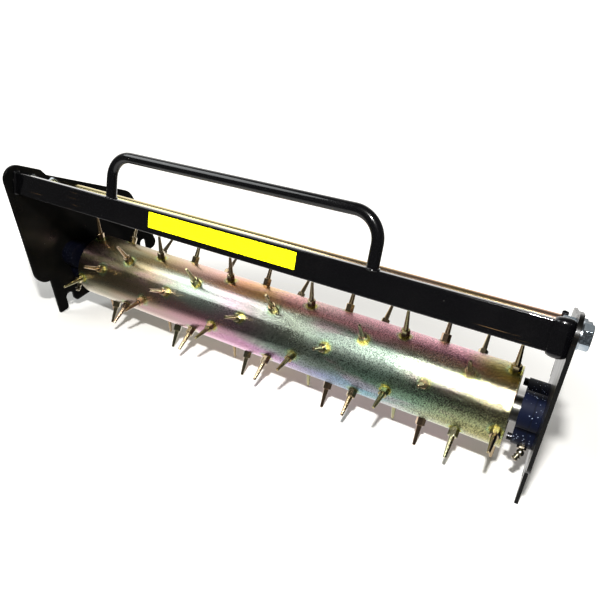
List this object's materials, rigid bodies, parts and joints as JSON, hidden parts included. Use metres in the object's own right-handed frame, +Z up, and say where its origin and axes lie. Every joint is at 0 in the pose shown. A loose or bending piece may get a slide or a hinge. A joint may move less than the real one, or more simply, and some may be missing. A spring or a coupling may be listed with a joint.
{
  "type": "spiker roller cassette",
  "caption": "Roller cassette for a greens mower: a drum studded with solid spikes turns on bearings between two slotted side plates, tied by a crossbar with a carry handle and a tie rod.",
  "frame": {"origin": "on the floor, under the middle of the whole cassette's box", "axes": "+X along the roller towards the end with the tie rod's lock screw, +Z up, -Y the front, where the crossbar and handle are"},
  "size_m": [0.5818, 0.2356, 0.2231],
  "materials": {
    "plate_paint": "satin black powder coat, dusty",
    "gloss_black_paint": "glossy black enamel",
    "yellow_label": "blank yellow film",
    "rod_zinc": "yellow-passivated zinc with iridescent bands",
    "drum_zinc": "yellow-passivated zinc with iridescent bands",
    "tine_zinc": "yellow-passivated zinc, brownish",
    "navy_paint": "navy paint with a fine pale speckle",
    "bright_zinc": "bright zinc plate",
    "dark_steel": "dark turned steel",
    "bearing_steel": "ground and polished",
    "black_rubber": "moulded nitrile",
    "nipple_brass": "nickel-washed brass",
    "black_oxide": "black oxide"
  },
  "bodies": {
    "frame": {"left_side_plate": "plate_paint", "left_lug_bolts": "bright_zinc", "left_lug_washers": "bright_zinc", "left_lug_nuts": "bright_zinc", "left_bearing_housing": "navy_paint", "left_bearing_cover": "navy_paint", "left_cover_screws": "black_oxide", "left_housing_screws": "black_oxide", "left_grease_nipple": "nipple_brass", "left_shaft_seal": "black_rubber", "left_bearing_outer_ring": "bearing_steel", "right_side_plate": "plate_paint", "right_lug_bolts": "bright_zinc", "right_lug_washers": "bright_zinc", "right_lug_nuts": "bright_zinc", "right_bearing_housing": "navy_paint", "right_bearing_cover": "navy_paint", "right_cover_screws": "black_oxide", "right_housing_screws": "black_oxide", "right_grease_nipple": "nipple_brass", "right_shaft_seal": "black_rubber", "right_bearing_outer_ring": "bearing_steel", "crossbar": "gloss_black_paint", "carry_handle": "gloss_black_paint", "blank_label": "yellow_label", "tie_rod": "rod_zinc", "tie_rod_lock_screw": "black_oxide", "tie_rod_bolts": "bright_zinc", "tie_rod_washers": "bright_zinc"},
    "roller": {"left_bearing_inner_ring": "bearing_steel", "left_bearing_balls": "bearing_steel", "left_end_disc": "drum_zinc", "left_spacer_collar": "dark_steel", "right_bearing_inner_ring": "bearing_steel", "right_bearing_balls": "bearing_steel", "right_end_disc": "drum_zinc", "right_spacer_collar": "dark_steel", "drum_tube": "drum_zinc", "roller_shaft": "dark_steel", "tine_row_01": "tine_zinc", "tine_row_02": "tine_zinc", "tine_row_03": "tine_zinc", "tine_row_04": "tine_zinc", "tine_row_05": "tine_zinc", "tine_row_06": "tine_zinc", "tine_row_07": "tine_zinc", "tine_row_08": "tine_zinc", "tine_row_09": "tine_zinc", "tine_row_10": "tine_zinc", "tine_row_11": "tine_zinc", "tine_row_12": "tine_zinc"}
  },
  "joints": [
    {"name": "roller_spin", "type": "hinge", "parent": "frame", "child": "roller", "pos_m": [0, -0.00178, 0.06364], "axis": [1, 0, 0], "continuous": true}
  ]
}
